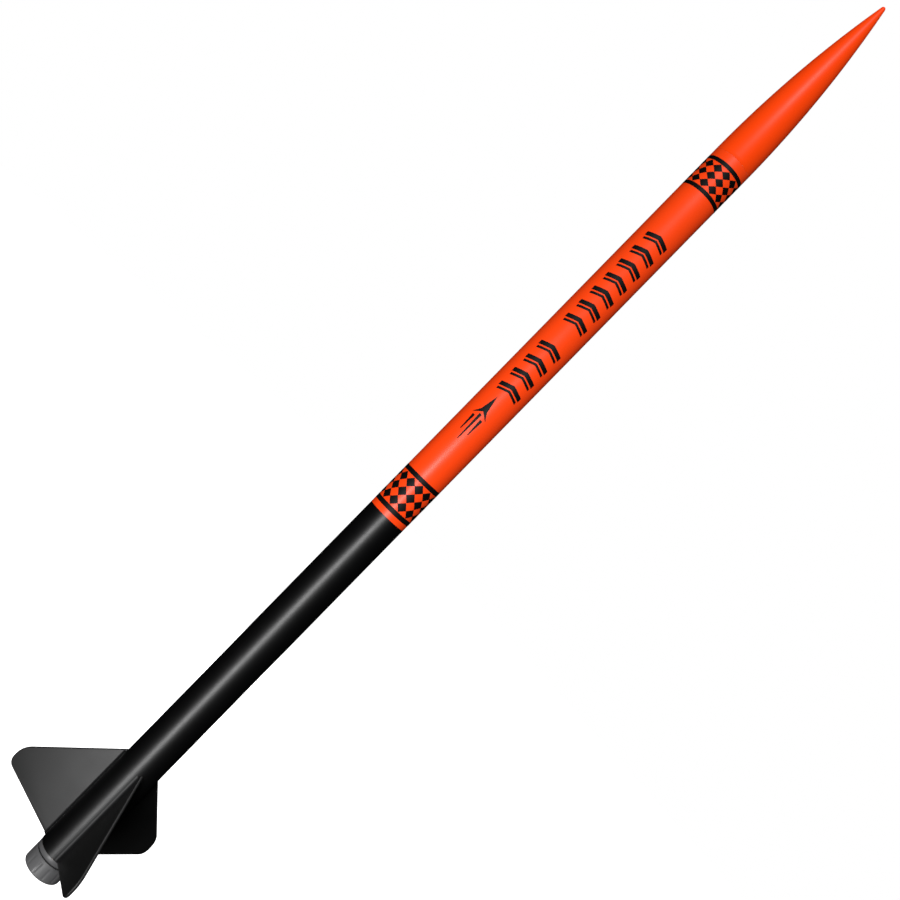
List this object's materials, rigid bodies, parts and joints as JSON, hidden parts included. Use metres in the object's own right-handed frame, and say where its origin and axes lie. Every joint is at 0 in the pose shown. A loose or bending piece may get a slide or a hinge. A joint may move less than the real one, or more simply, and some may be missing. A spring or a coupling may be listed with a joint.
{
  "type": "model rocket",
  "caption": "Slender flying model rocket with an ogive nose cone, joined paper tubes, swept fins, a screw-on motor retainer, launch lugs and packed recovery gear.",
  "frame": {"origin": "on the rocket's axis at the aft face of the retainer cap, the centre of the nozzle opening", "axes": "+Z along the axis towards the nose tip; one fin lies along +Y"},
  "size_m": [0.171, 0.1481, 1.148],
  "materials": {
    "orange_paint": "gloss paint over spiral-wound paper",
    "black_paint": "gloss paint over spiral-wound paper",
    "fin_paint": "satin paint over sealed board",
    "nose_plastic": "painted moulded plastic",
    "band_film": "printed vinyl film",
    "mark_film": "printed vinyl film",
    "kraft_paper": "bare wound paper",
    "fibre_board": "laser-cut board",
    "retainer_plastic": "moulded, fine grain",
    "cap_plastic": "moulded, fine grain",
    "fillet_glue": "painted over",
    "anchor_paper": "folded and glued",
    "wadding": "soft flame-resistant tissue",
    "chute_film": "thin film",
    "line_thread": "braided thread",
    "elastic": "woven elastic",
    "motor_paper": "rolled paper case",
    "clay": "pressed clay",
    "propellant": "pressed grain",
    "delay": "pressed grain"
  },
  "bodies": {
    "airframe": {"lower_body_tube": "black_paint", "upper_body_tube": "orange_paint", "tube_coupler": "kraft_paper", "motor_tube": "kraft_paper", "aft_centering_ring": "fibre_board", "forward_centering_ring": "fibre_board", "thrust_ring": "kraft_paper", "retainer_body": "retainer_plastic", "fin_1": "fin_paint", "fin_2": "fin_paint", "fin_3": "fin_paint", "fin_fillets": "fillet_glue", "lower_launch_lug": "black_paint", "upper_launch_lug": "orange_paint", "upper_band_decal": "band_film", "lower_band_decal": "band_film", "marking_decal": "mark_film", "shock_cord_anchor": "anchor_paper", "recovery_wadding": "wadding", "parachute_canopy": "chute_film", "shroud_lines": "line_thread", "shock_cord": "elastic"},
    "nose": {"nose_cone": "nose_plastic", "nose_base_plug": "nose_plastic"},
    "motor": {"motor_casing": "motor_paper", "motor_nozzle": "clay", "propellant_grain": "propellant", "delay_grain": "delay", "ejection_charge": "propellant", "motor_end_cap": "anchor_paper"},
    "cap": {"retainer_cap": "cap_plastic"}
  },
  "joints": [
    {"name": "nose_slide", "type": "slide", "parent": "airframe", "child": "nose", "axis": [0, 0, 1], "range_m": [0, 0.11], "deforming": ["shock_cord", "shroud_lines"]},
    {"name": "motor_travel", "type": "slide", "parent": "airframe", "child": "motor", "axis": [0, 0, -1], "range_m": [0, 0.012]},
    {"name": "cap_unscrew", "type": "hinge", "parent": "motor", "child": "cap", "pos_m": [0, 0, 0], "axis": [0, 0, -1], "range_deg": [0, 1080]}
  ],
  "couplings": [
    {"joint": "cap_unscrew", "follows": "motor_travel", "rad_per_m": 1570.8}
  ]
}
